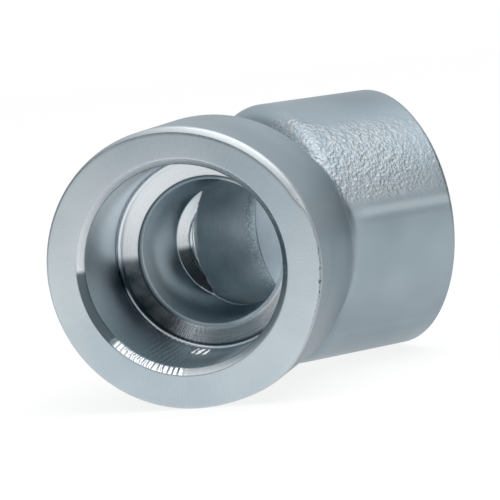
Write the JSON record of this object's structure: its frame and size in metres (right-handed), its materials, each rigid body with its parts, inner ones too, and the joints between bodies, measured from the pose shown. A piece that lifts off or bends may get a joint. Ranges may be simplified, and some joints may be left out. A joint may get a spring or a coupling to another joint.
{
  "type": "socket weld forty-five degree elbow",
  "caption": "Forged steel forty-five degree elbow with a bored, chamfered socket at each end for welding over pipe.",
  "frame": {"origin": "centre of the first socket's stop, on the socket's axis, where the end of the first pipe lands", "axes": "+Y along the first arm into the fitting, so its mouth faces -Y; +Z square to the plane of the bend; the second arm leaves halfway between +X and +Y"},
  "size_m": [0.0505, 0.0575, 0.038],
  "materials": {
    "forged_steel": "satin, part turned and part as forged and blasted"
  },
  "bodies": {
    "root": {"elbow_body": "forged_steel"}
  },
  "joints": []
}
